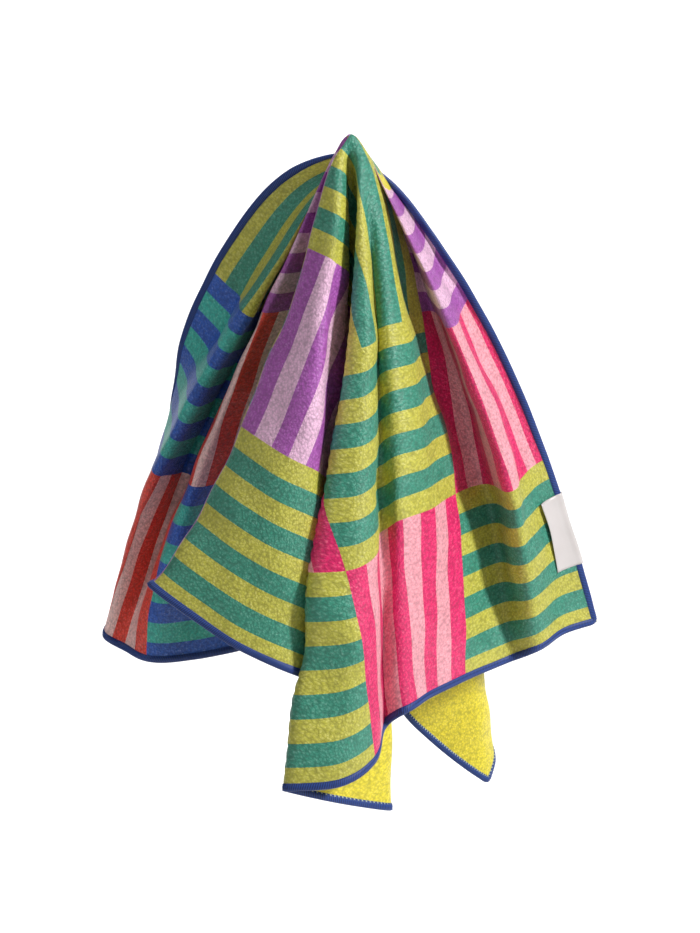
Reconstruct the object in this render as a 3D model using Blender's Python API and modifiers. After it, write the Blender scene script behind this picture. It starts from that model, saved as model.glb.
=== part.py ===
"""Hand towel hung from one point, with a small blank label sewn over its hem.

The towel is one flat rectangle, 800 by 500 mm. The middle of one long side and a point
169 mm in from it are gathered at the tip, and the cloth falls from there in uneven folds.
Each row of RIBS is one fold line, from its place at the tip to its place on the outer edge,
and the cloth is a loft across those lines. X is right, Y is away from the front, Z is up,
and the origin is the tip, where the towel hangs.
"""

import math

import bmesh
import bpy
import numpy as np

# Sizes in millimetres
MM = 0.001
HALF_LENGTH = 400
WIDTH = 500
CLOTH_THICKNESS = 2.0
STRIP_WIDTH = 17.0
GATHER_STRIPS = 2
ROWS = 17
ROW_EASE = 1.25
TIP_EASE = 0.04
THROW_PLACE = 0.06

LABEL_THICKNESS = 1.0
LABEL_START = 295
LABEL_LENGTH = 56
LABEL_GAP = 0.6
LABEL_ACROSS = (0.0, 0.25, 0.5, 0.75)
LABEL_REACH = 0.02
LABEL_TURN_STEPS = 4

# Points gathered at the tip, in order from the long edge to the tip
# name, distance from the long edge, x, y, z
GATHER = (
    ("mid_edge", 0, -4, 20, -13),
    ("back_dip", 20, 9, 24, -20),
    ("side_peak", 55, 14, 8, -17),
    ("side_dip", 110, 6, 17, -13),
    ("tip", 169, 0, 0, 0),
)

# Fold lines, in order round the towel from one end of the gathered long edge to the other
# name, gathered point, edge it ends on, place along that edge, x, y, z of that end,
# bow in x, y and z, how far down the bow is widest, throw in x and y just below the tip,
# softness of the fold from 0 to 1
RIBS = (
    ("right_hem", "mid_edge", "right", 0, 182, 108, -352, 31, 10, 4, 0.36, 4, 0, 0.0),
    ("right_lip_valley", "back_dip", "right", 28, 156, 91, -355, 26, 12, 2, 0.45, 4, 2, 1.0),
    ("right_ridge", "side_peak", "right", 62, 131, 64, -361, 19, -12, 0, 0.55, -1, -2, 1.0),
    ("right_valley", "side_dip", "right", 86, 114, 72, -372, 23, 28, 0, 0.5, 8, 4, 0.8),
    ("right_wall", "tip", "right", 118, 86, 44, -377, 14, 14, 0, 0.4, 5, 0, 1.0),
    ("right_swell", "tip", "right", 150, 62, 14, -380, 18, 0, 0, 0.38, 3, 0, 1.0),
    ("crease_lip", "tip", "right", 195, 34, -24, -383, 9, -6, 0, 0.35, 4, -3, 0.8),
    ("crease", "tip", "right", 213, 23, -16, -394, 8, 4, 0, 0.35, 3, -1, 0.6),
    ("mountain_right", "tip", "right", 250, 17, -48, -411, 9, -6, 0, 0.35, 2, -4, 0.8),
    ("mountain_face", "tip", "right", 284, -7, -66, -423, 11, -10, 0, 0.35, 1, -4, 1.0),
    ("mountain_left", "tip", "right", 317, -46, -60, -427, 10, -6, 0, 0.3, -1, -4, 0.6),
    ("under_wall", "tip", "right", 353, -10, -36, -444, 12, 3, 0, 0.35, 0, -2, 1.0),
    ("under_fold", "tip", "right", 390, 29, -8, -459, 9, 8, 0, 0.5, 2, 0, 0.7),
    ("under_back", "tip", "right", 445, 8, 42, -468, 6, 10, 0, 0.4, 1, 1, 1.0),
    ("right_corner", "tip", "right", 500, -4, 84, -474, 0, 8, 0, 0.4, 0, 1, 0.0),
    ("inner_fold", "tip", "front", 329, -24, 92, -428, 0, 4, 0, 0.4, -2, 1, 0.8),
    ("inner_back", "tip", "front", 285, -14, 66, -412, 4, 2, 0, 0.35, -1, 1, 1.0),
    ("inner_swell", "tip", "front", 230, -28, 34, -394, 0, 2, 0, 0.35, -3, 0, 1.0),
    ("inner_wall", "tip", "front", 175, -12, 2, -376, 4, 4, 0, 0.35, -1, -1, 1.0),
    ("panel_ridge", "tip", "front", 120, -34, -42, -354, 0, -12, 0, 0.35, -3, -4, 0.9),
    ("panel_swell", "tip", "front", 60, -80, -44, -331, 6, -14, 0, 0.45, -5, -3, 1.0),
    ("panel_edge", "tip", "front", 0, -136, -20, -296, 15, -2, 0, 0.72, -7, -1, 0.5),
    ("behind_edge", "tip", "front", -65, -104, 30, -318, 8, 12, 0, 0.6, -5, 0, 1.0),
    ("behind_middle", "tip", "front", -130, -68, 78, -346, 0, 14, 0, 0.5, -3, -1, 1.0),
    ("behind_low", "tip", "front", -200, -18, 114, -376, 0, 12, 0, 0.5, 0, -3, 1.0),
    ("behind_tail", "tip", "front", -265, 28, 126, -408, 4, 10, 0, 0.5, 1, -3, 1.0),
    ("tail_inner", "tip", "front", -310, 50, 132, -437, 8, 8, 0, 0.5, 2, -4, 1.0),
    ("tail_edge", "tip", "front", -355, 77, 142, -465, 10, 6, 0, 0.5, 3, -4, 1.0),
    ("left_corner", "tip", "front", -400, 104, 155, -489, 12, 4, 0, 0.5, 4, -4, 0.0),
    ("tail_fold", "tip", "left", 480, 112, 167, -473, 12, 8, 0, 0.5, 4, -4, 0.6),
    ("back_right", "tip", "left", 400, 60, 205, -418, 8, 24, 0, 0.55, 3, -7, 1.0),
    ("back_middle", "tip", "left", 330, 0, 205, -380, 0, 28, 0, 0.55, 0, -8, 1.0),
    ("back_left", "tip", "left", 262, -46, 165, -374, -8, 26, 0, 0.55, -2, -6, 1.0),
    ("left_hollow", "tip", "left", 196, -84, 112, -375, -14, 20, 0, 0.55, -5, -4, 1.0),
    ("left_slope", "tip", "left", 160, -114, 94, -377, -21, 14, 2, 0.62, -6, -3, 1.0),
    ("left_swell", "tip", "left", 124, -146, 78, -374, -16, 8, 2, 0.6, -4, -1, 1.0),
    ("left_valley", "side_dip", "left", 98, -164, 96, -370, -13, 34, 2, 0.55, -10, 2, 1.0),
    ("left_ridge", "side_peak", "left", 72, -177, 104, -362, -29, -4, 2, 0.5, -14, 2, 1.0),
    ("left_round", "back_dip", "left", 32, -160, 138, -352, -44, 6, 4, 0.44, -14, 2, 1.0),
    ("left_hem", "mid_edge", "left", 0, -136, 160, -342, -55, 8, 19, 0.36, -4, 0, 0.0),
)

GATHER_FLAT = {name: (0, place) for name, place, x, y, z in GATHER}
GATHER_PLACE = {name: (x, y, z) for name, place, x, y, z in GATHER}


def edge_flat(edge, place):
    """Flat position of a place along one edge, which the fold line reaches there."""
    if edge == "right":
        return (HALF_LENGTH, place)
    if edge == "left":
        return (-HALF_LENGTH, place)
    return (place, WIDTH)


TOP_FLAT = np.array([GATHER_FLAT[row[1]] for row in RIBS], float)
END_FLAT = np.array([edge_flat(row[2], row[3]) for row in RIBS], float)
TOP = np.array([GATHER_PLACE[row[1]] for row in RIBS], float)
END = np.array([row[4:7] for row in RIBS], float)
BOW = np.array([row[7:10] for row in RIBS], float)
WIDEST = np.array([row[10] for row in RIBS], float)
THROW = np.array([(row[11], row[12], 0) for row in RIBS], float)
SOFTNESS = np.array([row[13] for row in RIBS], float)
SPACING = np.linalg.norm(np.diff(END_FLAT, axis=0), axis=1)
LAST = len(RIBS) - 1


def rib_point(rib, down):
    """Point on a fold line, from 0 at the tip to 1 at the outer edge."""
    widest = WIDEST[rib]
    upper = (down / widest) ** (2 * widest)
    lower = ((1 - down) / (1 - widest)) ** (2 * (1 - widest))
    straight = TOP[rib] * (1 - down) + END[rib] * down
    near_tip = down / THROW_PLACE * math.exp(1 - down / THROW_PLACE)
    return straight + BOW[rib] * upper * lower + THROW[rib] * near_tip


def rib_slope(rib, down):
    """How the cloth runs across a fold line, from its two neighbours."""
    here = rib_point(rib, down)
    if rib == 0:
        return (rib_point(1, down) - here) / SPACING[0]
    if rib == LAST:
        return (here - rib_point(LAST - 1, down)) / SPACING[-1]
    before = (here - rib_point(rib - 1, down)) / SPACING[rib - 1]
    after = (rib_point(rib + 1, down) - here) / SPACING[rib]
    share = SPACING[rib] / (SPACING[rib - 1] + SPACING[rib])
    return before * share + after * (1 - share)


def cloth_point(rib, across, down):
    """Point of the cloth between one fold line and the next."""
    start = rib_point(rib, down)
    end = rib_point(rib + 1, down)
    spacing = SPACING[rib]
    straight = (end - start) / spacing
    ease = min(1.0, down / TIP_EASE)
    bend_start = (rib_slope(rib, down) - straight) * SOFTNESS[rib] * ease
    bend_end = (rib_slope(rib + 1, down) - straight) * SOFTNESS[rib + 1] * ease
    into = across * (1 - across) ** 2
    out = across**2 * (1 - across)
    return start + (end - start) * across + spacing * (bend_start * into - bend_end * out)


def strips(rib):
    """How many strips of faces lie between a fold line and the next."""
    if RIBS[rib][1] != "tip" or RIBS[rib + 1][1] != "tip":
        return GATHER_STRIPS
    return max(1, round(SPACING[rib] / STRIP_WIDTH))


def plain_material(name, colour, roughness):
    material = bpy.data.materials.new(name)
    material.use_nodes = True
    shader = material.node_tree.nodes["Principled BSDF"]
    shader.inputs["Base Color"].default_value = (*colour, 1)
    shader.inputs["Roughness"].default_value = roughness
    shader.inputs["Metallic"].default_value = 0.0
    return material


def add_sheet(name, mesh_data, thickness, material, collection):
    """A thin closed sheet: an open surface in millimetres, given its thickness."""
    mesh = bpy.data.meshes.new(name)
    mesh_data.to_mesh(mesh)
    mesh_data.free()
    mesh.materials.append(material)
    mesh.shade_smooth()
    sheet = bpy.data.objects.new(name, mesh)
    collection.objects.link(sheet)
    solid = sheet.modifiers.new("thickness", "SOLIDIFY")
    solid.thickness = thickness * MM
    solid.offset = 0.0
    solid.use_rim = True
    return sheet


def towel_surface():
    """The hung cloth as one open surface, with the gathered line shared by both halves."""
    surface = bmesh.new()
    gathered = {}

    def top_vertex(rib, across):
        flat = TOP_FLAT[rib] * (1 - across) + TOP_FLAT[rib + 1] * across
        key = round(float(flat[1]), 3)
        if key not in gathered:
            place = TOP[rib] * (1 - across) + TOP[rib + 1] * across
            gathered[key] = surface.verts.new(place * MM)
        return gathered[key]

    columns = []
    for rib in range(LAST):
        count = strips(rib)
        for step in range(count + (rib == LAST - 1)):
            across = step / count
            column = [top_vertex(rib, across)]
            for row in range(1, ROWS + 1):
                place = cloth_point(rib, across, row_down(row))
                column.append(surface.verts.new(place * MM))
            columns.append(column)
    for left, right in zip(columns, columns[1:]):
        for row in range(ROWS):
            corners = (left[row], right[row], right[row + 1], left[row + 1])
            face = [v for i, v in enumerate(corners) if v not in corners[:i]]
            surface.faces.new(face)
    return surface


def row_down(row):
    """How far down the fold lines a row of the cloth's faces lies."""
    return (row / ROWS) ** ROW_EASE


def hem_face_point(across, down):
    """Point on the flat faces of the cloth beside the right hem, which the label follows."""
    row = min(int(ROWS * down ** (1 / ROW_EASE)), ROWS - 1)
    strip = min(int(across * GATHER_STRIPS), GATHER_STRIPS - 1)
    upper, lower = row_down(row), row_down(row + 1)
    near, far = strip / GATHER_STRIPS, (strip + 1) / GATHER_STRIPS
    along = (down - upper) / (lower - upper)
    inward = (across - near) / (far - near)
    top = cloth_point(0, near, upper) * (1 - inward) + cloth_point(0, far, upper) * inward
    bottom = cloth_point(0, near, lower) * (1 - inward) + cloth_point(0, far, lower) * inward
    return top * (1 - along) + bottom * along


def hem_outward(across, down):
    """Direction straight out of the printed face beside the right hem."""
    low, high = max(across - LABEL_REACH, 0), across + LABEL_REACH
    inward = hem_face_point(high, down) - hem_face_point(low, down)
    along = hem_face_point(across, down + LABEL_REACH) - hem_face_point(across, down - LABEL_REACH)
    outward = np.cross(along, inward)
    return outward / np.linalg.norm(outward)


def label_profile(down):
    """Section of the label at one place along the hem: flap, turn round the edge, flap."""
    stand_off = CLOTH_THICKNESS / 2 + LABEL_GAP + LABEL_THICKNESS / 2
    front, back = [], []
    for across in LABEL_ACROSS:
        place = hem_face_point(across, down)
        outward = hem_outward(across, down)
        front.append(place + outward * stand_off)
        back.append(place - outward * stand_off)
    edge = hem_face_point(0, down)
    outward = hem_outward(0, down)
    inward = hem_face_point(LABEL_ACROSS[1], down) - edge
    inward /= np.linalg.norm(inward)
    turn = []
    for step in range(1, LABEL_TURN_STEPS):
        angle = math.pi * step / LABEL_TURN_STEPS
        turn.append(edge + (outward * math.cos(angle) - inward * math.sin(angle)) * stand_off)
    return front[::-1] + turn + back


def label_surface():
    """A strip folded over the right hem, one flap on each side of the cloth."""
    start, end = LABEL_START / HALF_LENGTH, (LABEL_START + LABEL_LENGTH) / HALF_LENGTH
    rows = [row_down(row) for row in range(ROWS + 1)]
    surface = bmesh.new()
    sections = []
    for down in [start, *(d for d in rows if start < d < end), end]:
        sections.append([surface.verts.new(place * MM) for place in label_profile(down)])
    for upper, lower in zip(sections, sections[1:]):
        for i in range(len(upper) - 1):
            surface.faces.new((upper[i], lower[i], lower[i + 1], upper[i + 1]))
    return surface


def main():
    for old in list(bpy.data.objects):
        bpy.data.objects.remove(old, do_unlink=True)
    collection = bpy.data.collections.new("hand_towel")
    bpy.context.scene.collection.children.link(collection)
    cloth = plain_material("towel_cloth", (0.48, 0.62, 0.34), 0.85)
    satin = plain_material("label_satin", (0.92, 0.92, 0.90), 0.45)
    add_sheet("towel", towel_surface(), CLOTH_THICKNESS, cloth, collection)
    add_sheet("label", label_surface(), LABEL_THICKNESS, satin, collection)


main()
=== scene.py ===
"""Looks of a hand towel that hangs from one point: printed face, plain reverse, hem and label.

The towel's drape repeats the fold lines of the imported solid, in the same millimetres, on a fine
flat grid. Flat X runs from -400 to 400 along the towel's length and flat Y from 0, the long edge
that is gathered at the tip, to 500.
"""

import math

import bpy
import numpy as np
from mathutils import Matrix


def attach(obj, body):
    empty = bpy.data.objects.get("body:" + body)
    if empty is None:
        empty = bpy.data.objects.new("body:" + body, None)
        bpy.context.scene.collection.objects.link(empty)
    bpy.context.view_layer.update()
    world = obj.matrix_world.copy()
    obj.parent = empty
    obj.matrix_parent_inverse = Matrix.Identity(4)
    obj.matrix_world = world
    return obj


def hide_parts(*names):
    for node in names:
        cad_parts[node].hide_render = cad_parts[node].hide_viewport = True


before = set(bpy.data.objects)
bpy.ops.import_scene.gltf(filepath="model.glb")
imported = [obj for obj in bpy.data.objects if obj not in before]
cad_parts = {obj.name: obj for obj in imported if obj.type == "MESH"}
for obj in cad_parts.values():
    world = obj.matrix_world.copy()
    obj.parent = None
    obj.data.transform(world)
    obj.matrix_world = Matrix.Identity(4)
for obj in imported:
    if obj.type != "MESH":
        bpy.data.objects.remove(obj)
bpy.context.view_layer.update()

# The same as the solid's: millimetres, and two shares of the way down a fold line
MM = 0.001
HALF_LENGTH = 400
WIDTH = 500
TIP_EASE = 0.04
THROW_PLACE = 0.06
LABEL_START = 295
LABEL_LENGTH = 56

# Guards against rounding and against dividing by nothing
SMALL = 1e-6
TINY = 1e-9

# Drape of the cloth: millimetres, counts and shares
CELL = 3.0
CLOTH_THICKNESS = 1.7
TIP_THICKNESS = 0.7
TIP_REACH = 55.0
DOME_RADIUS = 6.0
DOME_SHARPNESS = 3
LINE_STEPS = 360
LINE_FINENESS = 4
RELAX_CELL = 10.0
RELAX_ROUNDS = 120
RELAX_STEP = 1.6
RELAX_SHEAR = 0.35
RELAX_ANCHOR = 0.08
RELAX_HELD = 30.0
RELAX_FREE = 80.0
RELAX_SMOOTH = 1
RELAX_BLEND = 3
DRAPE_SMOOTH = 2
FOLD_PRESS = 5
CREASES_BEGIN = 50.0
CREASES_EASE = 90.0

# Hem: millimetres, counts and shares
HEM_WIDTH = 5.6
HEM_THICKNESS = 3.0
HEM_OUTSIDE = 0.6
HEM_CORNER = 4.0
HEM_CORNER_STEPS = 12
HEM_SIDES = 8
HEM_SQUARE = 0.5
HEM_TIP_SHARE = 0.35
THREAD_PITCH = 1.3
THREAD_RINGS = 4
THREAD_RELIEF = 0.2
THREAD_SLANT = 1.0
STITCH_PITCH = 2.6
STITCH_SHARE = 0.35
# Where the needle stitches lie round the hem: a least cosine, towards the cloth, and a greatest
# sine, towards the reverse
STITCH_INWARD = 0.45
STITCH_SIDE = -0.2

# Label: millimetres and counts
LABEL_WIDTH = 26.0
LABEL_ROWS = 29
LABEL_COLUMNS = 13
LABEL_TURN = 9
LABEL_THICKNESS = 0.35
LABEL_CLEAR = 0.45
LABEL_LIFT = 1.4
LABEL_WAVE = 1.1
# Angles in radians of the wave at the label's two ends
LABEL_WAVE_ANGLES = (0.4, 4.2)
# How far its turn over the edge bulges out, against a round one
LABEL_ROUND = 1.4
# How far from the edge the hem holds the label up, in widths of the hem
LABEL_HEM_REACH = 1.3
# Flat places of its turn and its back flap, which only set where the weave falls
LABEL_TURN_STEP = 0.8
LABEL_BACK_FROM = 8

# Stage, in metres
FLOOR_LEVEL = -0.78
SWEEP_FRONT = 4.0
SWEEP_BACK = 3.0
SWEEP_RADIUS = 1.6
SWEEP_STEPS = 24
SWEEP_HEIGHT = 6.0
SWEEP_WIDTH = 14.0
FLOOR_COLOUR = (0.93, 0.93, 0.93)
CAMERA_PLACE = (0, -1.4, 0)
CAMERA_TARGET = (0, 0, -0.220)
# Lens and sensor in millimetres
CAMERA_LENS = 81.89
CAMERA_SENSOR = 36
# Strength of the white world
WORLD_LIGHT = 0.06
# Soft lights: name, place, target, width, watts
LIGHTS = (
    ("key", (1.7, -1.0, 0.9), (0, 0, -0.22), 0.35, 58),
    ("fill", (-1.3, -1.1, 1.0), (-0.05, 0, -0.25), 0.5, 12),
    ("backdrop_light", (0, 0.9, 1.6), (0, 3.0, 0.2), 1.5, 75),
)

# Points gathered at the tip: name, distance from the long edge, x, y, z
GATHER = (
    ("mid_edge", 0, -4, 20, -13),
    ("back_dip", 20, 9, 24, -20),
    ("side_peak", 55, 14, 8, -17),
    ("side_dip", 110, 6, 17, -13),
    ("tip", 169, 0, 0, 0),
)

# Fold lines, in order round the towel from one end of the gathered long edge to the other
# name, gathered point, edge it ends on, place along that edge, x, y, z of that end,
# bow in x, y and z, how far down the bow is widest, throw in x and y just below the tip,
# softness of the fold from 0 to 1
RIBS = (
    ("right_hem", "mid_edge", "right", 0, 182, 108, -352, 31, 10, 4, 0.36, 4, 0, 0.0),
    ("right_lip_valley", "back_dip", "right", 28, 156, 91, -355, 26, 12, 2, 0.45, 4, 2, 1.0),
    ("right_ridge", "side_peak", "right", 62, 131, 64, -361, 19, -12, 0, 0.55, -1, -2, 1.0),
    ("right_valley", "side_dip", "right", 86, 114, 72, -372, 23, 28, 0, 0.5, 8, 4, 0.8),
    ("right_wall", "tip", "right", 118, 86, 44, -377, 14, 14, 0, 0.4, 5, 0, 1.0),
    ("right_swell", "tip", "right", 150, 62, 14, -380, 18, 0, 0, 0.38, 3, 0, 1.0),
    ("crease_lip", "tip", "right", 195, 34, -24, -383, 9, -6, 0, 0.35, 4, -3, 0.8),
    ("crease", "tip", "right", 213, 23, -16, -394, 8, 4, 0, 0.35, 3, -1, 0.6),
    ("mountain_right", "tip", "right", 250, 17, -48, -411, 9, -6, 0, 0.35, 2, -4, 0.8),
    ("mountain_face", "tip", "right", 284, -7, -66, -423, 11, -10, 0, 0.35, 1, -4, 1.0),
    ("mountain_left", "tip", "right", 317, -46, -60, -427, 10, -6, 0, 0.3, -1, -4, 0.6),
    ("under_wall", "tip", "right", 353, -10, -36, -444, 12, 3, 0, 0.35, 0, -2, 1.0),
    ("under_fold", "tip", "right", 390, 29, -8, -459, 9, 8, 0, 0.5, 2, 0, 0.7),
    ("under_back", "tip", "right", 445, 8, 42, -468, 6, 10, 0, 0.4, 1, 1, 1.0),
    ("right_corner", "tip", "right", 500, -4, 84, -474, 0, 8, 0, 0.4, 0, 1, 0.0),
    ("inner_fold", "tip", "front", 329, -24, 92, -428, 0, 4, 0, 0.4, -2, 1, 0.8),
    ("inner_back", "tip", "front", 285, -14, 66, -412, 4, 2, 0, 0.35, -1, 1, 1.0),
    ("inner_swell", "tip", "front", 230, -28, 34, -394, 0, 2, 0, 0.35, -3, 0, 1.0),
    ("inner_wall", "tip", "front", 175, -12, 2, -376, 4, 4, 0, 0.35, -1, -1, 1.0),
    ("panel_ridge", "tip", "front", 120, -34, -42, -354, 0, -12, 0, 0.35, -3, -4, 0.9),
    ("panel_swell", "tip", "front", 60, -80, -44, -331, 6, -14, 0, 0.45, -5, -3, 1.0),
    ("panel_edge", "tip", "front", 0, -136, -20, -296, 15, -2, 0, 0.72, -7, -1, 0.5),
    ("behind_edge", "tip", "front", -65, -104, 30, -318, 8, 12, 0, 0.6, -5, 0, 1.0),
    ("behind_middle", "tip", "front", -130, -68, 78, -346, 0, 14, 0, 0.5, -3, -1, 1.0),
    ("behind_low", "tip", "front", -200, -18, 114, -376, 0, 12, 0, 0.5, 0, -3, 1.0),
    ("behind_tail", "tip", "front", -265, 28, 126, -408, 4, 10, 0, 0.5, 1, -3, 1.0),
    ("tail_inner", "tip", "front", -310, 50, 132, -437, 8, 8, 0, 0.5, 2, -4, 1.0),
    ("tail_edge", "tip", "front", -355, 77, 142, -465, 10, 6, 0, 0.5, 3, -4, 1.0),
    ("left_corner", "tip", "front", -400, 104, 155, -489, 12, 4, 0, 0.5, 4, -4, 0.0),
    ("tail_fold", "tip", "left", 480, 112, 167, -473, 12, 8, 0, 0.5, 4, -4, 0.6),
    ("back_right", "tip", "left", 400, 60, 205, -418, 8, 24, 0, 0.55, 3, -7, 1.0),
    ("back_middle", "tip", "left", 330, 0, 205, -380, 0, 28, 0, 0.55, 0, -8, 1.0),
    ("back_left", "tip", "left", 262, -46, 165, -374, -8, 26, 0, 0.55, -2, -6, 1.0),
    ("left_hollow", "tip", "left", 196, -84, 112, -375, -14, 20, 0, 0.55, -5, -4, 1.0),
    ("left_slope", "tip", "left", 160, -114, 94, -377, -21, 14, 2, 0.62, -6, -3, 1.0),
    ("left_swell", "tip", "left", 124, -146, 78, -374, -16, 8, 2, 0.6, -4, -1, 1.0),
    ("left_valley", "side_dip", "left", 98, -164, 96, -370, -13, 34, 2, 0.55, -10, 2, 1.0),
    ("left_ridge", "side_peak", "left", 72, -177, 104, -362, -29, -4, 2, 0.5, -14, 2, 1.0),
    ("left_round", "back_dip", "left", 32, -160, 138, -352, -44, 6, 4, 0.44, -14, 2, 1.0),
    ("left_hem", "mid_edge", "left", 0, -136, 160, -342, -55, 8, 19, 0.36, -4, 0, 0.0),
)

# Soft creases: name, flat x and y of both ends, half width, height, below zero for a trough
CREASES = (
    ("shoulder_dimple", -20, 262, 52, 230, 9, -1.6),
    ("swell_trough", 215, 194, 335, 189, 8, -2.6),
    ("lip_trough", 215, 30, 335, 54, 7, -2.6),
    ("corner_ridge", 270, 74, 392, 66, 10, 2.6),
    ("hem_pinch", 130, 30, 225, 27, 6, -2.8),
    ("panel_crest", 8, 228, 66, 392, 8, 2.4),
    ("panel_trough", -10, 256, 34, 384, 10, -2.2),
    ("panel_sag", 56, 414, -14, 456, 13, -1.8),
    ("mountain_crest", 205, 288, 352, 241, 12, 3.0),
    ("mountain_trough", 245, 299, 392, 267, 12, -2.4),
    ("wall_ripple", 120, 186, 255, 160, 9, 1.8),
    ("panel_wall", 8, 205, 105, 410, 10, -5.5),
    ("valley_floor", 40, 166, 275, 100, 10, -5.5),
    ("mountain_fold", 120, 213, 420, 325, 13, 5.5),
    ("left_ridge_crest", -50, 58, -300, 69, 9, 3.5),
    ("left_valley_floor", -110, 107, -380, 99, 10, -4.5),
    ("left_pinch", -85, 20, -190, 35, 7, -3.0),
    ("left_trough", -255, 74, -378, 70, 9, -2.6),
    ("left_crest", -280, 112, -392, 112, 10, 2.4),
    ("back_crest", -150, 300, -330, 400, 16, 3.0),
    ("back_trough", -190, 260, -360, 330, 14, -3.0),
)
# Deep pleats, opened a little so that their walls stay clear of each other near the tip
PLEATS = (
    ("left_pleat", -6, 116, -150, 104, 34, -2.2),
)
# Slight unevenness all over: flat length and direction in degrees of each wave, its height
RUMPLES = ((61, 24, 0.5), (43, 108, 0.4), (97, 71, 0.6), (34, 152, 0.25))

# Print: nearly square patches of even stripes, turned about from each patch to the next
PATCHES_LONG = 6
PATCHES_WIDE = 4
STRIPES = 9
ZONE_PATCHES = 2
PRINT_BLEED = 0.5
# Two colours for each of three zones along the towel and each way of the stripes
PRINT_COLOURS = (
    ((0.930, 0.235, 0.150), (0.975, 0.800, 0.780)),
    ((0.060, 0.330, 0.720), (0.180, 0.700, 0.640)),
    ((0.770, 0.750, 0.270), (0.195, 0.560, 0.465)),
    ((0.680, 0.330, 0.700), (0.930, 0.740, 0.860)),
    ((0.920, 0.050, 0.415), (0.970, 0.640, 0.690)),
    ((0.770, 0.750, 0.270), (0.195, 0.560, 0.465)),
)
REVERSE_COLOUR = (0.930, 0.860, 0.130)
HEM_COLOUR = (0.105, 0.225, 0.490)
STITCH_COLOUR = (0.660, 0.720, 0.640)
LABEL_COLOUR = (0.790, 0.765, 0.760)

# Nap: millimetres, with shares of a pebble and of the nap's height
PEBBLE = 1.8
PEBBLE_STRAY = 1.4
PEBBLE_RELIEF = 0.6
CUSHION_HEIGHT = 0.75
FLUFF_HEIGHT = 0.5
# Fine relief of thread and ribbon: millimetres, how strongly it shows, and the way it is drawn out
FIBRE_RELIEF = 0.12
FIBRE_STRENGTH = 0.6
SATIN_RELIEF = 0.05
SATIN_STRENGTH = 0.35
SATIN_STRETCH = (0.15, 1, 1)

# Kinds of noise: waves a metre, levels of detail, roughness
PEBBLE_NOISE = (300.0, 2.0, 0.5)
FLUFF_NOISE = (1500.0, 3.0, 0.65)
MOTTLE_NOISE = (60.0, 4.0, 0.6)
GLINT_NOISE = (420.0, 2.0, 0.6)
BLEED_NOISE = (1100.0, 1.0, 0.5)
DYE_NOISE = (30.0, 2.0, 0.5)
THREAD_NOISE = (350.0, 2.0, 0.5)
FIBRE_NOISE = (3600.0, 2.0, 0.5)
SATIN_NOISE = (5200.0, 2.0, 0.5)
CLOUD_NOISE = (70.0, 2.0, 0.5)
FLOOR_NOISE = (4.0, 2.0, 0.5)

# How a value is spread: its low and high end, and what the two become
# Painted shade of the nap: darker in the dips between cushions, lighter on their tops
TUFT_PAINTED_SHADE = (0.35, 0.95, 0.62, 1.12)
MOTTLE_SHADE = (0.3, 0.7, 0.93, 1.05)
GLINT_ON_TUFT = (0.6, 0.95, 0.1, 1)
# Painted shade between the hem thread's turns and painted light on their crests
THREAD_PAINTED_SHADE = (-1, 0.6, 0.35, 1.4)
THREAD_UNEVEN = (0.3, 0.7, 0.85, 1.15)
DYE_SHARE = (0.35, 0.65, 0, 0.5)
CLOUD_SHARE = (0.3, 0.7, 0, 0.35)
FLOOR_SHARE = (0.3, 0.7, 0, 0.15)
# Ends of the noise between which the nap's painted highlight specks grow, and their most on each side
# of the cloth
GLINT_FROM = (0.42, 0.75)
PRINT_GLINT = 0.16
REVERSE_GLINT = 0.1
# Deepest places of a clouded colour, as shares of that colour
DYE_DEPTH = 0.9
CLOUD_DEPTH = 0.9
FLOOR_DEPTH = 0.98


def edge_flat(edge, place):
    """Flat position of a place along one edge."""
    if edge == "right":
        return (HALF_LENGTH, place)
    if edge == "left":
        return (-HALF_LENGTH, place)
    return (place, WIDTH)


GATHER_FLAT = {name: (0, place) for name, place, x, y, z in GATHER}
GATHER_PLACE = {name: (x, y, z) for name, place, x, y, z in GATHER}
TOP_FLAT = np.array([GATHER_FLAT[row[1]] for row in RIBS], float)
END_FLAT = np.array([edge_flat(row[2], row[3]) for row in RIBS], float)
TOP = np.array([GATHER_PLACE[row[1]] for row in RIBS], float)
END = np.array([row[4:7] for row in RIBS], float)
BOW = np.array([row[7:10] for row in RIBS], float)
WIDEST = np.array([row[10] for row in RIBS], float)
THROW = np.array([(row[11], row[12], 0) for row in RIBS], float)
SOFTNESS = np.array([row[13] for row in RIBS], float)
SPACING = np.linalg.norm(np.diff(END_FLAT, axis=0), axis=1)
LAST = len(RIBS) - 1


def line_points(down):
    """Points on every fold line, at shares of the way down: one row of shares a line."""
    widest = WIDEST[:, None]
    upper = (down / widest) ** (2 * widest)
    lower = ((1 - down) / (1 - widest)) ** (2 * (1 - widest))
    near_tip = down / THROW_PLACE * np.exp(1 - down / THROW_PLACE)
    straight = TOP[:, None] * (1 - down[..., None]) + END[:, None] * down[..., None]
    bow = BOW[:, None] * (upper * lower)[..., None]
    return straight + bow + THROW[:, None] * near_tip[..., None]


def even_lines():
    """Points at even steps of length down every fold line."""
    fine = np.tile(np.linspace(0, 1, LINE_FINENESS * LINE_STEPS + 1), (LAST + 1, 1))
    points = line_points(fine)
    steps = np.linalg.norm(np.diff(points, axis=1), axis=2)
    length = np.concatenate([np.zeros((LAST + 1, 1)), np.cumsum(steps, axis=1)], axis=1)
    wanted = np.linspace(0, 1, LINE_STEPS + 1)
    down = [np.interp(wanted, length[i] / length[i, -1], fine[i]) for i in range(LAST + 1)]
    return line_points(np.array(down))


def line_slopes(lines):
    """How the cloth runs across each fold line, from its two neighbours."""
    between = np.diff(lines, axis=0) / SPACING[:, None, None]
    slopes = np.empty_like(lines)
    slopes[0] = between[0]
    slopes[-1] = between[-1]
    share = (SPACING[1:] / (SPACING[:-1] + SPACING[1:]))[:, None, None]
    slopes[1:-1] = between[:-1] * share + between[1:] * (1 - share)
    return slopes


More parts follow.
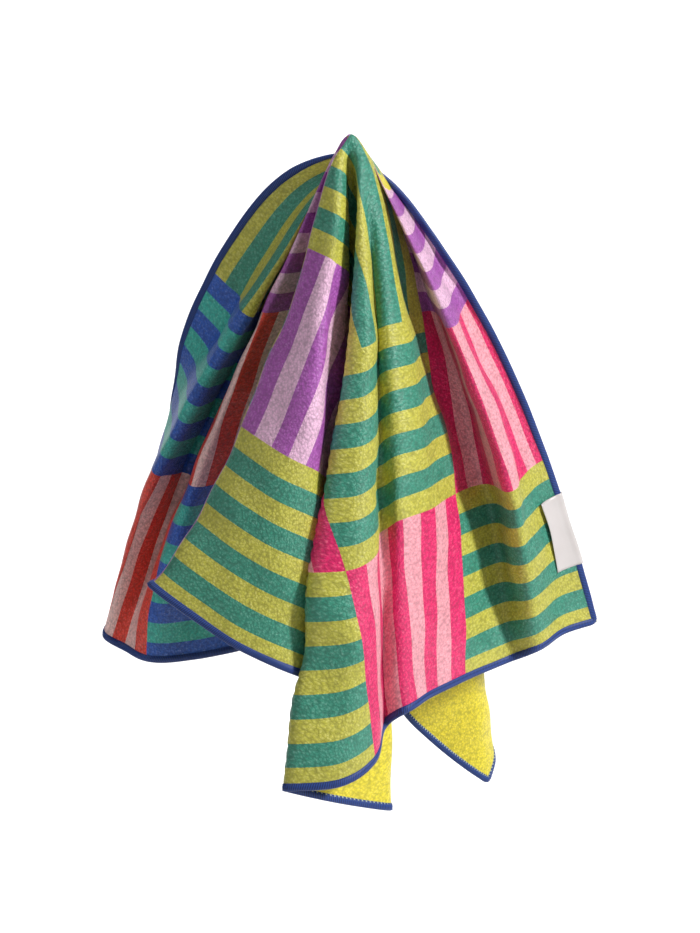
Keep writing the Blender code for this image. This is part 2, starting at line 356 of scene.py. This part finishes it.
def cross2(a, b):
    """Cross product of flat vectors."""
    return a[..., 0] * b[..., 1] - a[..., 1] * b[..., 0]


def unit(vectors):
    """The same directions, each one long."""
    return vectors / np.maximum(np.linalg.norm(vectors, axis=-1, keepdims=True), TINY)


def find_places(flat):
    """The sector between two fold lines, the share across it and the share down it of each point.

    The share across solves a square equation, and the root that lies inside the sector counts.
    """
    rib = np.zeros(len(flat), int)
    across = np.zeros(len(flat))
    down = np.zeros(len(flat))
    found = np.zeros(len(flat), bool)
    for sector in range(LAST):
        top, top_step = TOP_FLAT[sector], TOP_FLAT[sector + 1] - TOP_FLAT[sector]
        way = END_FLAT[sector] - top
        way_step = END_FLAT[sector + 1] - END_FLAT[sector] - top_step
        from_top = flat - top
        square = -cross2(top_step, way_step)
        single = cross2(from_top, way_step) - cross2(top_step, way)
        constant = cross2(from_top, way)
        root = np.sqrt(np.maximum(single**2 - 4 * square * constant, 0))
        for sign in (1, -1):
            bottom = -single + sign * root
            share = 2 * constant / np.where(np.abs(bottom) < TINY, TINY, bottom)
            near = top + share[:, None] * top_step
            span = way + share[:, None] * way_step
            depth = np.sum((flat - near) * span, axis=1) / np.sum(span**2, axis=1)
            inside = (share > -SMALL) & (share < 1 + SMALL)
            inside &= (depth > -SMALL) & (depth < 1 + SMALL)
            fits = inside & ~found
            rib[fits] = sector
            across[fits] = np.clip(share[fits], 0, 1)
            down[fits] = np.clip(depth[fits], 0, 1)
            found |= fits
    return rib, across, down


def draped(flat):
    """Where each point of a flat grid hangs."""
    lines = even_lines()
    slopes = line_slopes(lines)
    rib, across, down = find_places(flat.reshape(-1, 2))
    step = np.minimum((down * LINE_STEPS).astype(int), LINE_STEPS - 1)
    part = (down * LINE_STEPS - step)[:, None]

    def at(table, line):
        return table[line, step] * (1 - part) + table[line, step + 1] * part

    start, end = at(lines, rib), at(lines, rib + 1)
    spacing = SPACING[rib][:, None]
    straight = (end - start) / spacing
    ease = np.minimum(1, down / TIP_EASE)
    bend_start = (at(slopes, rib) - straight) * (SOFTNESS[rib] * ease)[:, None]
    bend_end = (at(slopes, rib + 1) - straight) * (SOFTNESS[rib + 1] * ease)[:, None]
    into = (across * (1 - across) ** 2)[:, None]
    out = (across**2 * (1 - across))[:, None]
    bend = spacing * (bend_start * into - bend_end * out)
    hung = start + (end - start) * across[:, None] + bend
    return hung.reshape(*flat.shape[:2], 3)


def dome(points):
    """Rounds the gathered tip over the small knob that it hangs from."""
    centre = np.array([0, 0, -DOME_RADIUS])
    away = points - centre
    distance = np.linalg.norm(away, axis=-1, keepdims=True)
    rounded = (distance**DOME_SHARPNESS + DOME_RADIUS**DOME_SHARPNESS) ** (1 / DOME_SHARPNESS)
    return centre + away * rounded / np.maximum(distance, SMALL)


def flat_grid(cell):
    """Flat points of the towel at even cells, as rows of Y by columns of X."""
    xs = np.linspace(-HALF_LENGTH, HALF_LENGTH, round(2 * HALF_LENGTH / cell) + 1)
    ys = np.linspace(0, WIDTH, round(WIDTH / cell) + 1)
    return np.stack(np.meshgrid(xs, ys), axis=-1)


def grid_normals(points):
    """Outward direction of the printed face at every grid point."""
    along = np.gradient(points, axis=1)
    across = np.gradient(points, axis=0)
    return unit(np.cross(across, along))


def neighbours(rows, columns):
    """Pairs of grid points that the cloth ties together: which two, how far apart, how firmly."""
    every = slice(None)
    left, right = slice(0, columns - 1), slice(1, columns)
    upper, lower = slice(0, rows - 1), slice(1, rows)
    diagonal = RELAX_CELL * math.sqrt(2)
    return (
        ((every, left), (every, right), RELAX_CELL, 1.0),
        ((upper, every), (lower, every), RELAX_CELL, 1.0),
        ((upper, left), (lower, right), diagonal, RELAX_SHEAR),
        ((lower, left), (upper, right), diagonal, RELAX_SHEAR),
    )


def relaxed(drape):
    """Lets the cloth ease back to its flat lengths, held near the tip and loosely elsewhere."""
    rows, columns = drape.shape[:2]
    near_tip = np.clip(1 - (np.linalg.norm(drape, axis=2) - RELAX_HELD) / RELAX_FREE, 0, 1)
    hold = (RELAX_ANCHOR + (1 - RELAX_ANCHOR) * near_tip**2)[..., None]
    points = drape.copy()
    for _ in range(RELAX_ROUNDS):
        move = np.zeros_like(points)
        weight = np.zeros((rows, columns, 1))
        for first, second, length, firmness in neighbours(rows, columns):
            apart = points[second] - points[first]
            distance = np.maximum(np.linalg.norm(apart, axis=2, keepdims=True), SMALL)
            pull = apart * (1 - length / distance) * 0.5 * firmness
            move[first] += pull
            move[second] -= pull
            weight[first] += firmness
            weight[second] += firmness
        points = points + move / weight * RELAX_STEP
        points = points + (drape - points) * hold
    return points


def smoothed(grid, rounds):
    """Evens a grid of values out between neighbours, in both directions."""
    for _ in range(rounds):
        for axis in (0, 1):
            padded = np.concatenate([grid.take([0], axis), grid, grid.take([-1], axis)], axis=axis)
            size = grid.shape[axis]
            before = padded.take(range(size), axis)
            after = padded.take(range(2, size + 2), axis)
            grid = (before + 2 * grid + after) / 4
    return grid


def sampled(grid, flat):
    """Values of a grid at flat points, blended between its four nearest points."""
    rows, columns = grid.shape[:2]
    column = (flat[..., 0] + HALF_LENGTH) / (2 * HALF_LENGTH) * (columns - 1)
    column = np.clip(column, 0, columns - 1)
    row = np.clip(flat[..., 1] / WIDTH * (rows - 1), 0, rows - 1)
    i = np.minimum(column.astype(int), columns - 2)
    j = np.minimum(row.astype(int), rows - 2)
    a, b = (column - i)[..., None], (row - j)[..., None]
    upper = grid[j, i] * (1 - a) + grid[j, i + 1] * a
    lower = grid[j + 1, i] * (1 - a) + grid[j + 1, i + 1] * a
    return upper * (1 - b) + lower * b


def hung_cloth(flat):
    """The fold lines' drape, eased over broad cells so that the cloth is hardly stretched."""
    broad = flat_grid(RELAX_CELL)
    start = dome(draped(broad))
    moved = smoothed(relaxed(start) - start, RELAX_SMOOTH)
    drape = smoothed(dome(draped(flat)), DRAPE_SMOOTH)
    return drape + smoothed(sampled(moved, flat), RELAX_BLEND)


def soft_lines(flat, rows):
    """Height at each flat point of soft troughs and ridges that fade out at both ends."""
    height = np.zeros(flat.shape[:2])
    for _, start_x, start_y, end_x, end_y, half_width, lift in rows:
        start = np.array([start_x, start_y], float)
        way = np.array([end_x, end_y], float) - start
        along = np.sum((flat - start) * way, axis=-1) / np.sum(way**2)
        aside = cross2(flat - start, way) / np.linalg.norm(way)
        fade = np.clip(4 * along * (1 - along), 0, 1)
        height += lift * fade * np.exp(-((aside / half_width) ** 2))
    return height


def crease_height(flat, from_tip):
    """How far creases, pleats and slight unevenness lift each flat point out of the smooth drape.

    Creases and unevenness start some way below the tip.
    """
    height = soft_lines(flat, CREASES)
    for length, direction, lift in RUMPLES:
        turn = math.radians(direction)
        phase = (flat[..., 0] * math.cos(turn) + flat[..., 1] * math.sin(turn)) / length
        height += lift * np.sin(2 * math.pi * phase)
    share = np.clip((from_tip - CREASES_BEGIN) / CREASES_EASE, 0, 1)
    return (height * share + soft_lines(flat, PLEATS))[..., None]


def numbered(rows, columns):
    """Numbers of the points of a grid, row after row."""
    return np.arange(rows * columns).reshape(rows, columns)


def quads(numbers):
    """Faces with four corners between the neighbouring points of a numbered grid."""
    corners = (numbers[:-1, :-1], numbers[:-1, 1:], numbers[1:, 1:], numbers[1:, :-1])
    return np.stack(corners, axis=-1).reshape(-1, 4)


def mesh_piece(name, points, faces, materials, flat, face_slots=None):
    """A smooth mesh object from points in millimetres, which keeps their flat places."""
    mesh = bpy.data.meshes.new(name)
    mesh.from_pydata((points * MM).tolist(), [], faces.tolist())
    for material in materials:
        mesh.materials.append(material)
    if face_slots is not None:
        mesh.polygons.foreach_set("material_index", face_slots)
    layer = mesh.attributes.new("flat", "FLOAT_VECTOR", "POINT")
    layer.data.foreach_set("vector", np.ascontiguousarray(flat, dtype=np.float32).ravel())
    mesh.shade_smooth()
    mesh.update()
    piece = bpy.data.objects.new(name, mesh)
    bpy.context.scene.collection.objects.link(piece)
    return piece


def towel_piece(flat, points, normals, materials):
    """The cloth as one closed sheet, pressed thinner where a fold is sharp.

    It has a printed face, a plain reverse and the cut edge between.
    """
    rows, columns = points.shape[:2]
    distance = np.linalg.norm(points, axis=2, keepdims=True)
    share = np.clip(distance / TIP_REACH, 0, 1)
    half = (TIP_THICKNESS + (CLOTH_THICKNESS - TIP_THICKNESS) * share) / 2
    pressed = smoothed(normals, FOLD_PRESS) * half
    face = (points + pressed).reshape(-1, 3)
    reverse = (points - pressed).reshape(-1, 3)
    numbers = numbered(rows, columns)
    to_reverse = rows * columns
    front = quads(numbers)[:, ::-1]
    back = front[:, ::-1] + to_reverse
    rim = [numbers[0, :], numbers[1:, -1], numbers[-1, -2::-1], numbers[-2:0:-1, 0]]
    ring = np.concatenate(rim)
    following = np.roll(ring, -1)
    side = np.stack([ring, following, following + to_reverse, ring + to_reverse], axis=-1)
    faces = np.concatenate([front, back, side])
    slots = np.ones(len(faces), np.int32)
    slots[: len(front)] = 0
    flat_points = np.concatenate([flat.reshape(-1, 2)] * 2) * MM
    flat_points = np.concatenate([flat_points, np.zeros((len(flat_points), 1))], axis=1)
    both = np.concatenate([face, reverse])
    return mesh_piece("towel_cloth", both, faces, materials, flat_points, slots)


def hem_path():
    """Flat points all round the towel's edge, with rounded corners, at even steps."""
    inset = HEM_WIDTH / 2 - HEM_OUTSIDE
    low_x, high_x = -HALF_LENGTH + inset, HALF_LENGTH - inset
    low_y, high_y = inset, WIDTH - inset
    corners = ((high_x, low_y, -90), (high_x, high_y, 0), (low_x, high_y, 90), (low_x, low_y, 180))
    outline = []
    for x, y, start in corners:
        centre_x = x - math.copysign(HEM_CORNER, x)
        centre_y = y + (HEM_CORNER if y == low_y else -HEM_CORNER)
        for step in range(HEM_CORNER_STEPS + 1):
            angle = math.radians(start + 90 * step / HEM_CORNER_STEPS)
            round_x = centre_x + HEM_CORNER * math.cos(angle)
            round_y = centre_y + HEM_CORNER * math.sin(angle)
            outline.append((round_x, round_y))
    outline.append(outline[0])
    outline = np.array(outline)
    length = np.concatenate([[0], np.cumsum(np.linalg.norm(np.diff(outline, axis=0), axis=1))])
    count = round(length[-1] / THREAD_PITCH) * THREAD_RINGS
    wanted = np.linspace(0, length[-1], count, endpoint=False)
    path = [np.interp(wanted, length, outline[:, axis]) for axis in (0, 1)]
    return np.stack(path, axis=-1), wanted


def hem_frames(points, normals):
    """Length so far, centre, way in from the edge and face direction, all round the hem."""
    path, along = hem_path()
    centre = sampled(points, path)
    normal = unit(sampled(normals, path))
    tangent = unit(np.roll(centre, -1, axis=0) - np.roll(centre, 1, axis=0))
    normal = unit(normal - tangent * np.sum(normal * tangent, axis=1, keepdims=True))
    inward = np.cross(tangent, normal)
    return along, centre, inward, normal


def squared(value):
    """Moves a sine or cosine outwards, which draws a circle out into a rounded square."""
    return math.copysign(abs(value) ** HEM_SQUARE, value)


def hem_piece(points, normals, material):
    """The overlocked edge: thread wound close round the cloth's edge, as a ribbed band."""
    along, centre, inward, normal = hem_frames(points, normals)
    share = np.clip(np.linalg.norm(centre, axis=1) / TIP_REACH, HEM_TIP_SHARE, 1)[:, None]
    rings = []
    flat = []
    for side in range(HEM_SIDES):
        angle = 2 * math.pi * side / HEM_SIDES
        wound = along + THREAD_SLANT * math.cos(angle)
        swell = (1 + THREAD_RELIEF * np.cos(2 * math.pi * wound / THREAD_PITCH))[:, None]
        wide = squared(math.cos(angle)) * HEM_WIDTH / 2
        thick = squared(math.sin(angle)) * HEM_THICKNESS / 2
        rings.append(centre + (inward * wide + normal * thick * swell) * share)
        around = np.full((len(along), 2), (math.cos(angle), math.sin(angle)))
        flat.append(np.concatenate([wound[:, None] * MM, around], axis=1))
    vertices = np.stack(rings, axis=1).reshape(-1, 3)
    flat = np.stack(flat, axis=1).reshape(-1, 3)
    closed = np.pad(numbered(len(along), HEM_SIDES), ((0, 1), (0, 1)), mode="wrap")
    return mesh_piece("hem_thread", vertices, quads(closed)[:, ::-1], [material], flat)


def label_piece(points, normals, material):
    """The blank satin label, folded over the right hem with a flap on each side."""
    along = LABEL_START + np.linspace(0, LABEL_LENGTH, LABEL_ROWS)
    flap = np.linspace(LABEL_WIDTH, 0, LABEL_COLUMNS)
    turn = np.linspace(0, math.pi, LABEL_TURN)[1:-1]
    grid_x = np.tile(along, (LABEL_COLUMNS, 1))
    grid_y = np.tile(flap[:, None], (1, LABEL_ROWS))
    flat = np.stack([grid_x, grid_y], axis=-1)
    place = sampled(points, flat)
    normal = unit(sampled(normals, flat))
    free = (flap / LABEL_WIDTH)[:, None] ** 2
    over_hem = HEM_THICKNESS / 2 * np.clip(LABEL_HEM_REACH - flap / HEM_WIDTH, 0, 1)
    stand_off = np.maximum(CLOTH_THICKNESS / 2, over_hem) + LABEL_CLEAR
    wave = LABEL_WAVE * free * np.sin(np.linspace(*LABEL_WAVE_ANGLES, LABEL_ROWS))[None]
    front_off = stand_off[:, None] + LABEL_LIFT * free + wave
    front = place + normal * front_off[..., None]
    back = place - normal * stand_off[:, None, None]
    edge, edge_normal = place[-1], normal[-1]
    outward = unit(place[-1] - place[-2])
    over = []
    for angle in turn:
        way = edge_normal * math.cos(angle) + outward * math.sin(angle) * LABEL_ROUND
        over.append(edge + way * stand_off[-1])
    sheet = np.concatenate([front, np.stack(over), back[::-1]])
    turned = -np.arange(1, len(turn) + 1) * LABEL_TURN_STEP
    across = np.concatenate([flap, turned, -LABEL_BACK_FROM - flap[::-1]])
    flat_points = np.broadcast_arrays(along[None] * MM, across[:, None] * MM, 0.0)
    flat_points = np.stack(flat_points, axis=-1).reshape(-1, 3)
    faces = quads(numbered(*sheet.shape[:2]))
    label = mesh_piece("side_label", sheet.reshape(-1, 3), faces, [material], flat_points)
    solid = label.modifiers.new("thickness", "SOLIDIFY")
    solid.thickness = LABEL_THICKNESS * MM
    solid.offset = 0.0
    return label


def linear(colour):
    """A colour on screen as the light values that shaders use, by the sRGB curve."""
    return tuple(c / 12.92 if c <= 0.04045 else ((c + 0.055) / 1.055) ** 2.4 for c in colour)


class Nodes:
    """Short ways to add shader nodes to one material."""

    def __init__(self, name):
        self.material = bpy.data.materials.new(name)
        self.material.use_nodes = True
        self.tree = self.material.node_tree
        self.shader = self.tree.nodes["Principled BSDF"]

    def add(self, kind, **settings):
        node = self.tree.nodes.new(kind)
        for key, value in settings.items():
            setattr(node, key, value)
        return node

    def feed(self, socket, value):
        """Links a socket to another node's output, or sets it to a plain value."""
        if hasattr(value, "is_output"):
            self.tree.links.new(value, socket)
        else:
            socket.default_value = value

    def math(self, operation, *values):
        node = self.add("ShaderNodeMath", operation=operation)
        for socket, value in zip(node.inputs, values):
            self.feed(socket, value)
        return node.outputs[0]

    def vector(self, operation, *values):
        node = self.add("ShaderNodeVectorMath", operation=operation)
        for socket, value in zip(node.inputs, values):
            self.feed(socket, value)
        return node.outputs[0]

    def scaled(self, vector, share):
        node = self.add("ShaderNodeVectorMath", operation="SCALE")
        self.feed(node.inputs[0], vector)
        self.feed(node.inputs["Scale"], share)
        return node.outputs[0]

    def split(self, vector):
        node = self.add("ShaderNodeSeparateXYZ")
        self.feed(node.inputs[0], vector)
        return node.outputs

    def flat(self):
        """Flat place on the cloth or label, in metres, or place round the hem's thread."""
        return self.add("ShaderNodeAttribute", attribute_name="flat").outputs["Vector"]

    def noise(self, vector, kind):
        """One of the named kinds of noise, as a value and as a colour."""
        node = self.add("ShaderNodeTexNoise")
        self.feed(node.inputs["Vector"], vector)
        for socket, value in zip(("Scale", "Detail", "Roughness"), kind):
            node.inputs[socket].default_value = value
        return node.outputs["Fac"], node.outputs["Color"]

    def strayed(self, vector, kind, reach):
        """Places moved a little, each its own way."""
        stray = self.vector("SUBTRACT", self.noise(vector, kind)[1], (0.5, 0.5, 0.5))
        return self.vector("ADD", vector, self.scaled(stray, reach))

    def cells(self, vector, scale):
        node = self.add("ShaderNodeTexVoronoi", feature="F1")
        self.feed(node.inputs["Vector"], vector)
        node.inputs["Scale"].default_value = scale
        return node.outputs["Distance"]

    def spread(self, value, low, high, to_low, to_high):
        """A value between low and high, as one between two others."""
        node = self.add("ShaderNodeMapRange")
        for socket, given in zip(node.inputs, (value, low, high, to_low, to_high)):
            self.feed(socket, given)
        return node.outputs[0]

    def pick(self, share, first, second):
        """A number that goes from the first to the second."""
        node = self.add("ShaderNodeMix", data_type="FLOAT")
        self.feed(node.inputs[0], share)
        self.feed(node.inputs[2], first)
        self.feed(node.inputs[3], second)
        return node.outputs[0]

    def mix(self, share, first, second):
        """A colour that goes from the first to the second."""
        node = self.add("ShaderNodeMix", data_type="RGBA")
        self.feed(node.inputs["Factor"], share)
        self.feed(node.inputs[6], first)
        self.feed(node.inputs[7], second)
        return node.outputs[2]

    def clouded(self, vector, kind, limits, colour, depth):
        """A colour that is a little deeper in places."""
        share = self.spread(self.noise(vector, kind)[0], *limits)
        deep = tuple(part * depth for part in colour)
        return self.mix(share, (*colour, 1), (*deep, 1))

    def steps(self, value, colours):
        """One of several colours, each held over an even share of the value's range."""
        node = self.add("ShaderNodeValToRGB")
        ramp = node.color_ramp
        ramp.interpolation = "CONSTANT"
        for place in range(len(colours) - 2):
            ramp.elements.new((place + 1) / len(colours))
        for place, colour in enumerate(colours):
            ramp.elements[place].position = place / len(colours)
            ramp.elements[place].color = (*linear(colour), 1)
        self.feed(node.inputs[0], value)
        return node.outputs[0]

    def bump(self, height, distance, strength):
        node = self.add("ShaderNodeBump")
        node.inputs["Strength"].default_value = strength
        node.inputs["Distance"].default_value = distance
        self.feed(node.inputs["Height"], height)
        return node.outputs[0]

    def set(self, **values):
        """Feeds inputs of the surface shader, named with underscores for spaces."""
        for key, value in values.items():
            self.feed(self.shader.inputs[key.replace("_", " ")], value)


def pebble(nodes, flat):
    """The cloth's pebbled nap: small uneven cushions with dips between them."""
    place = nodes.strayed(flat, PEBBLE_NOISE, PEBBLE * PEBBLE_STRAY * MM)
    cushion = nodes.math("SUBTRACT", 1.0, nodes.cells(place, 1 / MM / PEBBLE))
    cushion = nodes.math("MULTIPLY", cushion, CUSHION_HEIGHT)
    fluff = nodes.math("MULTIPLY", nodes.noise(flat, FLUFF_NOISE)[0], FLUFF_HEIGHT)
    return nodes.math("ADD", cushion, fluff)


def napped(name, colour_of, glint_most):
    """Soft microfibre with its pebbled nap, painted shade in its dips and painted highlights, in a
    colour that a function works out.
    """
    nodes = Nodes(name)
    flat = nodes.flat()
    height = pebble(nodes, flat)
    # Painted shade in the nap's dips and painted light on its tops, on top of the random mottle
    tuft_painted_shade = nodes.spread(height, *TUFT_PAINTED_SHADE)
    mottle = nodes.spread(nodes.noise(flat, MOTTLE_NOISE)[0], *MOTTLE_SHADE)
    uneven_and_shaded = nodes.scaled(colour_of(nodes, flat), nodes.math("MULTIPLY", tuft_painted_shade, mottle))
    # Painted highlight: pale specks mixed towards white on the tops of the tufts
    glint = nodes.spread(nodes.noise(flat, GLINT_NOISE)[0], *GLINT_FROM, 0, glint_most)
    pale = nodes.math("MULTIPLY", glint, nodes.spread(height, *GLINT_ON_TUFT))
    nodes.set(Base_Color=nodes.mix(pale, uneven_and_shaded, (1, 1, 1, 1)))
    nodes.set(Normal=nodes.bump(height, PEBBLE_RELIEF * MM, 1.0))
    nodes.set(Roughness=0.44, Specular_IOR_Level=0.6, Sheen_Weight=0.12, Sheen_Roughness=0.4)
    return nodes.material


def print_colour(nodes, flat):
    """Stripe colours of the patch that each flat point lies in."""
    x, y, _ = nodes.split(nodes.strayed(flat, BLEED_NOISE, PRINT_BLEED * MM))
    from_left = nodes.math("ADD", x, HALF_LENGTH * MM)
    across = nodes.math("DIVIDE", from_left, 2 * HALF_LENGTH * MM / PATCHES_LONG)
    down = nodes.math("DIVIDE", y, WIDTH * MM / PATCHES_WIDE)
    column = nodes.math("MINIMUM", nodes.math("FLOOR", across), PATCHES_LONG - 1)
    place = nodes.math("ADD", column, nodes.math("FLOOR", down))
    turned = nodes.math("FLOORED_MODULO", place, 2)
    level = nodes.math("FRACT", down)
    upright = nodes.math("FRACT", across)
    over_patch = nodes.math("MULTIPLY", nodes.pick(turned, level, upright), STRIPES)
    stripe = nodes.math("FLOORED_MODULO", nodes.math("FLOOR", over_patch), 2)
    zone = nodes.math("FLOOR", nodes.math("DIVIDE", nodes.math("ADD", column, 0.5), ZONE_PATCHES))
    pair = nodes.math("ADD", nodes.math("MULTIPLY", zone, 2), turned)
    number = nodes.math("ADD", nodes.math("MULTIPLY", pair, 2), stripe)
    colours = [colour for two in PRINT_COLOURS for colour in two]
    value = nodes.math("DIVIDE", nodes.math("ADD", number, 0.5), len(colours))
    return nodes.steps(value, colours)


def reverse_colour(nodes, flat):
    """The plain reverse, a touch uneven in its dye."""
    return nodes.clouded(flat, DYE_NOISE, DYE_SHARE, linear(REVERSE_COLOUR), DYE_DEPTH)


def thread_material():
    """Glossy overlock thread, painted shade between turns and light on crests, pale needle stitches
    on the reverse.
    """
    nodes = Nodes("overlock_thread")
    flat = nodes.flat()
    wound, inward, side = nodes.split(flat)
    ridge = nodes.math("COSINE", nodes.math("MULTIPLY", wound, 2 * math.pi / (THREAD_PITCH * MM)))
    # Painted shade in the gaps between the thread's turns and painted light on their crests
    turn_painted_shade = nodes.spread(ridge, *THREAD_PAINTED_SHADE)
    uneven_shade = nodes.spread(nodes.noise(flat, THREAD_NOISE)[0], *THREAD_UNEVEN)
    uneven_and_shaded = nodes.scaled(linear(HEM_COLOUR), nodes.math("MULTIPLY", turn_painted_shade, uneven_shade))
    stitch = nodes.math("FRACT", nodes.math("DIVIDE", wound, STITCH_PITCH * MM))
    stitch = nodes.math("LESS_THAN", stitch, STITCH_SHARE)
    stitch = nodes.math("MULTIPLY", stitch, nodes.math("GREATER_THAN", inward, STITCH_INWARD))
    stitch = nodes.math("MULTIPLY", stitch, nodes.math("LESS_THAN", side, STITCH_SIDE))
    nodes.set(Base_Color=nodes.mix(stitch, uneven_and_shaded, (*linear(STITCH_COLOUR), 1)))
    nodes.set(Roughness=0.5, Specular_IOR_Level=0.45, Sheen_Weight=0.1)
    nodes.set(Normal=nodes.bump(nodes.noise(flat, FIBRE_NOISE)[0], FIBRE_RELIEF * MM, FIBRE_STRENGTH))
    return nodes.material


def satin_material():
    """Woven white satin ribbon: fine threads along its length, and a soft gloss."""
    nodes = Nodes("label_satin")
    flat = nodes.flat()
    fine = nodes.noise(nodes.vector("MULTIPLY", flat, SATIN_STRETCH), SATIN_NOISE)[0]
    colour = nodes.clouded(flat, CLOUD_NOISE, CLOUD_SHARE, linear(LABEL_COLOUR), CLOUD_DEPTH)
    nodes.set(Base_Color=colour, Roughness=0.36, Specular_IOR_Level=0.5, Anisotropic=0.5)
    nodes.set(Normal=nodes.bump(fine, SATIN_RELIEF * MM, SATIN_STRENGTH))
    return nodes.material


def floor_material():
    """Plain pale matt floor with the faintest grain."""
    nodes = Nodes("floor_pale")
    place = nodes.add("ShaderNodeTexCoord").outputs["Object"]
    colour = nodes.clouded(place, FLOOR_NOISE, FLOOR_SHARE, FLOOR_COLOUR, FLOOR_DEPTH)
    nodes.set(Base_Color=colour, Roughness=0.9, Specular_IOR_Level=0.1)
    return nodes.material


def stage_pieces():
    """A plain pale floor far below the towel, which sweeps up behind it into a backdrop."""
    profile = [(-SWEEP_FRONT, 0.0), (SWEEP_BACK - SWEEP_RADIUS, 0.0)]
    for step in range(1, SWEEP_STEPS + 1):
        angle = math.pi / 2 * step / SWEEP_STEPS
        forward = SWEEP_BACK - SWEEP_RADIUS * (1 - math.sin(angle))
        profile.append((forward, SWEEP_RADIUS * (1 - math.cos(angle))))
    profile.append((SWEEP_BACK, SWEEP_HEIGHT))
    side = SWEEP_WIDTH / 2
    points = [(x, y, FLOOR_LEVEL + z) for y, z in profile for x in (-side, side)]
    faces = [(2 * i, 2 * i + 1, 2 * i + 3, 2 * i + 2) for i in range(len(profile) - 1)]
    mesh = bpy.data.meshes.new("floor")
    mesh.from_pydata(points, [], faces)
    mesh.materials.append(floor_material())
    mesh.shade_smooth()
    floor = bpy.data.objects.new("floor", mesh)
    bpy.context.scene.collection.objects.link(floor)


def aim(way):
    """Rotation that points an object's own -Z along a direction, with Y up."""
    from_up = math.atan2(math.hypot(way[0], way[1]), -way[2])
    turn = math.atan2(way[1], way[0]) - math.pi / 2
    return (from_up, 0, turn)


def soft_light(name, location, target, size, energy):
    """A round area light that points at a target."""
    data = bpy.data.lights.new(name, "AREA")
    data.shape = "DISK"
    data.size = size
    data.energy = energy
    light = bpy.data.objects.new(name, data)
    light.location = location
    light.rotation_euler = aim(np.array(target) - np.array(location))
    bpy.context.scene.collection.objects.link(light)


def lights():
    """The soft lights and a faint white world."""
    for row in LIGHTS:
        soft_light(*row)
    world = bpy.data.worlds.new("pale")
    world.use_nodes = True
    background = world.node_tree.nodes["Background"]
    background.inputs["Color"].default_value = (1, 1, 1, 1)
    background.inputs["Strength"].default_value = WORLD_LIGHT
    bpy.context.scene.world = world
    bpy.context.scene.view_settings.view_transform = "Standard"


def camera():
    """The camera stands level with the tip and looks at about the towel's middle."""
    data = bpy.data.cameras.new("camera")
    data.sensor_width = CAMERA_SENSOR
    data.lens = CAMERA_LENS
    eye = bpy.data.objects.new("camera", data)
    eye.location = CAMERA_PLACE
    eye.rotation_euler = aim(np.array(CAMERA_TARGET) - np.array(CAMERA_PLACE))
    bpy.context.scene.collection.objects.link(eye)
    bpy.context.scene.camera = eye


def main():
    flat = flat_grid(CELL)
    points = hung_cloth(flat)
    from_tip = np.linalg.norm(points, axis=2)
    points = points + grid_normals(points) * crease_height(flat, from_tip)
    normals = grid_normals(points)

    face = napped("towel_print", print_colour, PRINT_GLINT)
    reverse = napped("towel_reverse", reverse_colour, REVERSE_GLINT)
    cloth = towel_piece(flat, points, normals, [face, reverse])
    hem = hem_piece(points, normals, thread_material())
    label = label_piece(points, normals, satin_material())

    for piece in (cloth, hem, label):
        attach(piece, "root")
    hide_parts("towel")
    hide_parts("label")

    stage_pieces()
    lights()
    camera()


main()
